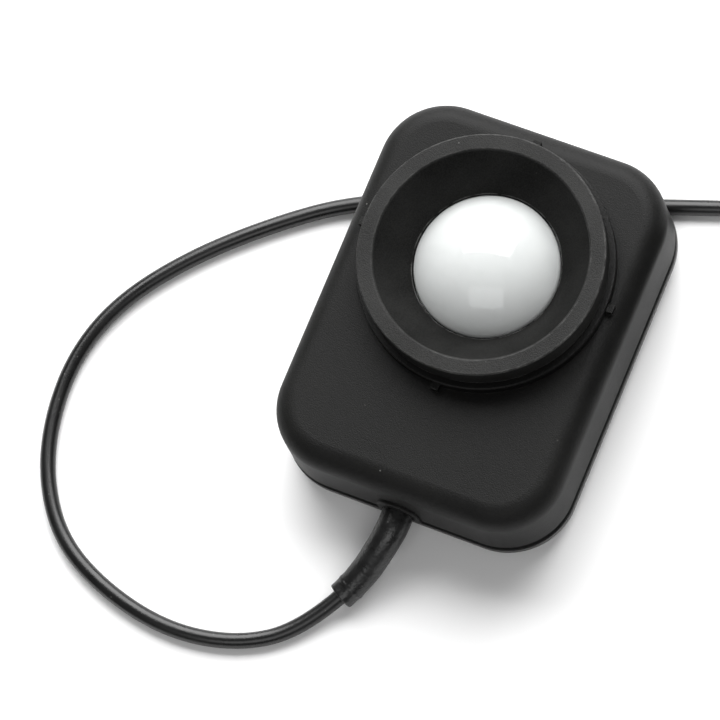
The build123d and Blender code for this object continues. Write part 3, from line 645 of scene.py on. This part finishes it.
def makeBoot(shape):
    places, total = alongLine(curveLine("bootGuide", shape["route"]), shape["spacing"])
    neckLength, neckRadius = shape["neck"]
    beadBlend, (waverFrom, waverOver) = shape["beadBlend"], shape["waverStart"]
    side = Vector((1, 0, 0))
    rings = []
    for place, heading, distance in places:
        side = (side - heading * side.dot(heading)).normalized()
        other = heading.cross(side)
        taper = (distance - neckLength) / (total - neckLength)
        radius = shape["rootRadius"] + (shape["tipRadius"] - shape["rootRadius"]) * max(0.0, taper)
        pastNeck = smoothStep((distance - neckLength) / shape["neckBlend"])
        radius += (neckRadius - shape["rootRadius"]) * (1 - pastNeck)
        fromTip = total - distance
        offBead = abs(fromTip - shape["beadFromTip"]) - shape["beadHalfWidth"]
        radius += shape["beadHeight"] * (1 - smoothStep((offBead + beadBlend / 2) / beadBlend))
        if fromTip < shape["lip"]:
            share = 1 - fromTip / shape["lip"]
            radius -= (radius - shape["holeRadius"]) * (1 - math.sqrt(max(0.0, 1 - share * share)))
        row = []
        for i in range(shape["segments"]):
            angle = 2 * math.pi * i / shape["segments"]
            out = side * math.cos(angle) + other * math.sin(angle)
            waver = noise.noise((place + out * radius) * shape["waverScale"]) * shape["waver"]
            waver *= smoothStep((distance - waverFrom) / waverOver) * smoothStep(fromTip)
            row.append(place + out * (radius + waver))
        rings.append(row)
    return ringMesh("strainRelief", rings)


strainRelief = makeBoot(boot)
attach(strainRelief, "root")
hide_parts("cable_boot")
paint(strainRelief, mouldedFinish("bootRubber", boot))
print("boot made")


# lead jacket

jacket = {
    "dark": (0.0018, 0.0019, 0.0019), "light": (0.0042, 0.0043, 0.0044),
    "smooth": 0.26, "rough": 0.36,
    "gloss": 0.45,
    "streaks": 26.0,
    "grain": 2600.0, "patch": 140.0, "depth": 0.12,
    "speck": 900.0, "dust": 0.5, "dustShare": 0.4, "dustColour": (0.25, 0.25, 0.24),
}


def jacketFinish(name, look):  # drawn plastic, a little uneven along its length
    material, tree, shader = newMaterial(name)
    place = addNode(tree, "ShaderNodeTexCoord").outputs["Object"]
    grain = useGroup(tree, mouldGrain, Grain_Scale=look["grain"], Patch_Scale=look["patch"])
    tone = averageOf(tree, addNoise(tree, place, look["streaks"], 5.0), grain["Patch"])
    colour = blendColour(tree, tone, look["dark"], look["light"])
    tree.links.new(addDust(tree, look, colour), shader.inputs["Base Color"])
    tree.links.new(remap(tree, tone, 0.3, 0.7, look["smooth"], look["rough"]), shader.inputs["Roughness"])
    addBump(tree, shader, grain["Height"], look["depth"])
    shader.inputs["Specular IOR Level"].default_value = look["gloss"]
    return material


cableJacket = jacketFinish("cableJacket", jacket)
paint(sensorLead, cableJacket)
paint(nodes["cable_tail"], cableJacket)


# tie round the coil: a woven strap whose end laps over itself

tie = {
    "middle": (21.0, 5.75),  # radius in the coil and height of the bundle
    "half": 5.25,
    "corner": 1.75,
    "angle": 250.0,
    "width": 7.3,
    "thickness": 0.46,
    "lap": 9.0,
    "lapRise": 3.0,  # the end climbs on to the first turn over this length
    "endLength": 1.6,
    "endBlunt": 0.45,
    "squareness": (0.35, 0.6),  # lower is squarer, across the strap and through it
    "steps": 150,
    "sides": 20,
    "dark": (0.012, 0.012, 0.013), "light": (0.035, 0.035, 0.037),
    "threads": 1300.0, "depth": 0.8, "bumpSize": 0.0003,
    "grain": 3000.0, "patch": 200.0, "rough": 0.9, "smooth": 0.72, "sheen": 0.25,
}


def bundleOutline(distance, half, corner):  # place and outward direction on a rounded square
    flat = 2 * (half - corner)
    bend = corner * math.pi / 2
    side, rest = divmod(distance % (4 * (flat + bend)), flat + bend)
    if rest < flat:
        place, out = Vector((rest - flat / 2, half)), Vector((0, 1))
    else:
        angle = math.pi / 2 - (rest - flat) / corner
        out = Vector((math.cos(angle), math.sin(angle)))
        place = Vector((flat / 2, flat / 2)) + out * corner
    turn = Matrix.Rotation(-side * math.pi / 2, 2)
    return turn @ place, turn @ out


def squared(value, power):
    return math.copysign(abs(value) ** power, value)


def makeTie(shape, centre):
    outline = 4 * (2 * (shape["half"] - shape["corner"]) + shape["corner"] * math.pi / 2)
    steps, sides, rise = shape["steps"], shape["sides"], shape["lapRise"]
    acrossPower, throughPower = shape["squareness"]
    rings = []
    for i in range(steps + 1):
        distance = (outline + shape["lap"]) * i / steps
        place, out = bundleOutline(distance, shape["half"], shape["corner"])
        lift = shape["thickness"] * (0.5 + smoothStep((distance - outline + rise) / rise))
        left = max(0.0, (outline + shape["lap"] - distance) / shape["endLength"])
        endTaper = min(1.0, math.sqrt(left) + shape["endBlunt"])
        ring = []
        for k in range(sides):
            angle = 2 * math.pi * k / sides
            across = squared(math.cos(angle), acrossPower) * endTaper * shape["width"] / 2
            through = squared(math.sin(angle), throughPower) * shape["thickness"] / 2
            spot = place + out * (lift + through)
            reach = shape["middle"][0] + spot.x
            around = math.radians(shape["angle"]) + across / shape["middle"][0]
            ring.append((
                centre[0] + reach * math.cos(around),
                centre[1] + reach * math.sin(around),
                shape["middle"][1] + spot.y,
            ))
        rings.append(ring)
    return ringMesh("coilTie", rings)


def strapFinish(name, look):
    material, tree, shader = newMaterial(name)
    threads = useGroup(tree, wovenThread, Thread_Scale=look["threads"])
    grain = useGroup(tree, mouldGrain, Grain_Scale=look["grain"], Patch_Scale=look["patch"])
    tone = averageOf(tree, threads["Height"], grain["Patch"])
    tree.links.new(blendColour(tree, tone, look["dark"], look["light"]), shader.inputs["Base Color"])
    rough = remap(tree, threads["Height"], 0.0, 1.0, look["rough"], look["smooth"])
    tree.links.new(rough, shader.inputs["Roughness"])
    addBump(tree, shader, threads["Height"], look["depth"], look["bumpSize"])
    shader.inputs["Sheen Weight"].default_value = look["sheen"]
    return material


coilTie = makeTie(tie, coil["centre"])
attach(coilTie, "root")
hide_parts("coil_tie")
paint(coilTie, strapFinish("tieFabric", tie))
print("coil tied")


# plug: moulded grip with a ribbed sleeve on the lead

plug = {
    "start": lead["end"][-1],
    "towards": lead["end"][-2],
    "sleeve": 10.0,
    "sleeveTip": 2.4,
    "sleeveRoot": 3.6,
    "sleeveStart": -0.4,
    "holeRadius": 1.85,
    "ribs": 5,
    "ribDepth": 0.55,
    "ribOutline": ((0.0, 0.0), (0.55, 0.0), (0.62, 1.0), (0.93, 1.0)),  # shares of the pitch and the depth
    "ribRound": 0.12,
    "radius": 5.5,
    "length": 19.0,
    "sleeveFoot": ((-0.4, 0.0, 0.1), (0.0, 0.1, 0.2)),  # corners: distance and radius added, and rounding
    "shoulder": ((0.5, -0.3, 0.3), (2.0, 0.0, 0.6)),
    "nose": ((-0.8, 0.0, 0.5), (0.0, -0.6, 0.3)),
    "noseHole": 0.6,
    "segments": 112,
    "flutes": 14,
    "fluteDepth": 0.4,
    "fluteFrom": 13.5,
    "fluteTo": 24.5,
    "look": {
        "dark": (0.012, 0.012, 0.012), "light": (0.019, 0.019, 0.0185), "rubbed": (0.07, 0.07, 0.068),
        "roughness": 0.42, "grain": 2400.0, "depth": 0.25, "wear": 0.4, "dust": 0.4,
    },
}


def makePlug(shape):
    start, towards = Vector(shape["start"]), Vector(shape["towards"])
    axis = (start - towards).normalized()
    ease = 0.1  # the tip stands in and the first rib stands off by this much
    first = shape["sleeveStart"]
    corners, radii = [(first, shape["holeRadius"]), (first, shape["sleeveTip"] - ease)], [0.15]
    pitch = shape["sleeve"] / (shape["ribs"] + 0.5)
    widening = (shape["sleeveRoot"] - shape["sleeveTip"]) / shape["sleeve"]
    for rib in range(shape["ribs"]):
        for share, drop in shape["ribOutline"]:
            distance = (rib + share) * pitch + ease
            corners.append((distance, shape["sleeveTip"] + widening * distance - drop * shape["ribDepth"]))
            radii.append(shape["ribRound"])
    end = shape["sleeve"] + shape["length"]
    for key, distance, radius in (
        ("sleeveFoot", shape["sleeve"], shape["sleeveRoot"]),
        ("shoulder", shape["sleeve"], shape["radius"]),
        ("nose", end, shape["radius"]),
    ):
        for along, out, rounding in shape[key]:
            corners.append((distance + along, radius + out))
            radii.append(rounding)
    corners.append((end, shape["noseHole"]))
    profile = []
    rounded = turnedProfile(corners, radii)
    for before, after in zip(rounded, rounded[1:]):  # no step longer than a millimetre
        parts = max(1, math.ceil(abs(after[0] - before[0])))
        for i in range(parts):
            t = i / parts
            profile.append((before[0] + (after[0] - before[0]) * t, before[1] + (after[1] - before[1]) * t))
    profile.append(rounded[-1])

    def flute(distance, angle):
        inside = smoothStep(distance - shape["fluteFrom"]) * smoothStep(shape["fluteTo"] - distance)
        return -shape["fluteDepth"] * inside * (0.5 + 0.5 * math.cos(shape["flutes"] * angle)) ** 2

    return ringMesh("plugGrip", turnedRings(profile, start, axis, (0, 0, 1), shape["segments"], flute))


plugGrip = makePlug(plug)
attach(plugGrip, "root")
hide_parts("plug_body")
plugPlastic = mouldedFinish("plugPlastic", plug["look"])
paint(plugGrip, plugPlastic)
print("plug made")


# what is inside the head

innerLooks = {
    "dome_seal": {"dark": (0.01, 0.01, 0.01), "light": (0.016, 0.016, 0.016), "roughness": 0.7},
    "amplifier_chip": {"dark": (0.012, 0.012, 0.013), "light": (0.022, 0.022, 0.023), "roughness": 0.55},
    "chip_passives": {"dark": (0.32, 0.25, 0.17), "light": (0.42, 0.34, 0.24), "roughness": 0.5},
    "gain_trimmer": {"dark": (0.03, 0.09, 0.32), "light": (0.05, 0.13, 0.42), "roughness": 0.4},
    "wire_header": {"dark": (0.62, 0.6, 0.55), "light": (0.72, 0.7, 0.64), "roughness": 0.5},
    "cable_clamp": {"dark": (0.012, 0.012, 0.012), "light": (0.02, 0.02, 0.02), "roughness": 0.55},
    "plug_insulator": {"dark": (0.015, 0.015, 0.016), "light": (0.025, 0.025, 0.026), "roughness": 0.45},
    "photocell_chip": {"dark": (0.03, 0.035, 0.06), "light": (0.05, 0.055, 0.09), "roughness": 0.18},
    "wire_red": {"dark": (0.42, 0.015, 0.012), "light": (0.55, 0.03, 0.02), "roughness": 0.38},
    "wire_white": {"dark": (0.68, 0.67, 0.63), "light": (0.78, 0.77, 0.73), "roughness": 0.38},
    "wire_green": {"dark": (0.015, 0.2, 0.05), "light": (0.03, 0.28, 0.08), "roughness": 0.38},
    "wire_black": {"dark": (0.01, 0.01, 0.01), "light": (0.02, 0.02, 0.02), "roughness": 0.38},
}
innerShared = {"grain": 2600.0, "depth": 0.2, "patch": 200.0, "wear": 0.3, "dust": 0.05, "edge": 0.0002}
for node, look in innerLooks.items():
    rubbed = tuple(min(0.9, value * 1.5 + 0.02) for value in look["light"])
    paint(nodes[node], mouldedFinish(node + "_finish", {**innerShared, **look, "rubbed": rubbed}))

board = {
    "dark": (0.01, 0.07, 0.025), "light": (0.02, 0.12, 0.045),
    "threads": 1100.0, "threadShare": 0.4, "depth": 0.2, "bumpSize": 0.0001,
    "grain": 2000.0, "patch": 90.0, "patchShare": 0.5,
    "roughness": 0.28, "roughSpread": 0.15,
}


def laminateFinish(name, look):
    material, tree, shader = newMaterial(name)
    threads = useGroup(tree, wovenThread, Thread_Scale=look["threads"])
    grain = useGroup(tree, mouldGrain, Grain_Scale=look["grain"], Patch_Scale=look["patch"])
    weave = calc(tree, "MULTIPLY", threads["Height"], look["threadShare"])
    patches = calc(tree, "MULTIPLY", grain["Patch"], look["patchShare"])
    tone = calc(tree, "ADD", weave, patches)
    tree.links.new(blendColour(tree, tone, look["dark"], look["light"]), shader.inputs["Base Color"])
    rough = calc(tree, "ADD", calc(tree, "MULTIPLY", tone, look["roughSpread"]), look["roughness"])
    tree.links.new(rough, shader.inputs["Roughness"])
    addBump(tree, shader, threads["Height"], look["depth"], look["bumpSize"])
    return material


paint(nodes["circuit_board"], laminateFinish("boardLaminate", board))

glassLooks = {
    "photopic_filter": {"clear": (0.42, 0.66, 0.36), "cloudy": (0.36, 0.58, 0.31)},
    "photocell_window": {"clear": (0.93, 0.96, 0.96), "cloudy": (0.86, 0.9, 0.9)},
}
glassShared = {"grain": 900.0, "patch": 150.0, "smooth": 0.02, "rough": 0.07, "ior": 1.52}


def glassFinish(name, look):
    material, tree, shader = newMaterial(name)
    grain = useGroup(tree, mouldGrain, Grain_Scale=look["grain"], Patch_Scale=look["patch"])
    tint = blendColour(tree, grain["Patch"], look["clear"], look["cloudy"])
    tree.links.new(tint, shader.inputs["Base Color"])
    rough = remap(tree, grain["Patch"], 0.0, 1.0, look["smooth"], look["rough"])
    tree.links.new(rough, shader.inputs["Roughness"])
    shader.inputs["Transmission Weight"].default_value = 1.0
    shader.inputs["IOR"].default_value = look["ior"]
    return material


for node, look in glassLooks.items():
    paint(nodes[node], glassFinish(node + "_glass", {**glassShared, **look}))
print("inside finished")


# floor, softboxes and the room's pale light

studio = {
    "floorSize": 6.0,
    "floorLevels": (-20.0, -0.02),
    "floorWhite": (0.92, 0.92, 0.92),
    "floorShade": 0.985,  # the darker patches, as a share of the white
    "floorGrain": 300.0,
    "floorPatch": 3.0,
    "floorRoughness": 0.7,
    "floorGloss": 0.3,
    "room": (1.0, 1.0, 1.0),
    "roomStrength": 0.22,
    "centre": (0.0, 0.01, 0.03),  # metres, like the lights' places and sizes
    "lights": {
        "farSoftbox": {
            "from": (-0.2255, 0.689, 0.689), "across": (0.9677, 0.2459, 0.0568),
            "size": (1.26, 1.03), "power": 30.0,
        },
        "nearFill": {
            "from": (0.2, -0.63, 0.75), "across": (0.95, 0.31, 0.0), "size": (0.8, 0.5), "power": 2.5,
        },
    },
}


def makeStudio(settings):
    half = settings["floorSize"] / 2 / mm
    corners = ((-half, -half), (half, -half), (half, half), (-half, half))
    floor = ringMesh("floor", [[(x, y, z) for x, y in corners] for z in settings["floorLevels"]])
    for face in floor.data.polygons:
        face.use_smooth = False
    material, tree, shader = newMaterial("paleFloor")
    grain = useGroup(tree, mouldGrain, Grain_Scale=settings["floorGrain"], Patch_Scale=settings["floorPatch"])
    white = settings["floorWhite"]
    shade = tuple(value * settings["floorShade"] for value in white)
    tree.links.new(blendColour(tree, grain["Patch"], white, shade), shader.inputs["Base Color"])
    shader.inputs["Roughness"].default_value = settings["floorRoughness"]
    shader.inputs["Specular IOR Level"].default_value = settings["floorGloss"]
    paint(floor, material)
    world = bpy.data.worlds.new("room")
    world.use_nodes = True
    background = world.node_tree.nodes["Background"]
    background.inputs["Color"].default_value = (*settings["room"], 1)
    background.inputs["Strength"].default_value = settings["roomStrength"]
    scene.world = world
    for name, light in settings["lights"].items():
        data = bpy.data.lights.new(name, "AREA")
        data.shape = "RECTANGLE"
        data.size, data.size_y = light["size"]
        data.energy = light["power"]
        lamp = bpy.data.objects.new(name, data)
        away = Vector(light["from"]).normalized()
        across = Vector(light["across"])
        across = (across - away * across.dot(away)).normalized()
        turned = Matrix((across, away.cross(across), away)).transposed().to_4x4()
        lamp.matrix_world = Matrix.Translation(Vector(settings["centre"]) + Vector(light["from"])) @ turned
        lamp.visible_camera = False
        scene.collection.objects.link(lamp)


makeStudio(studio)
scene.view_settings.view_transform = "Standard"
print("studio lit")
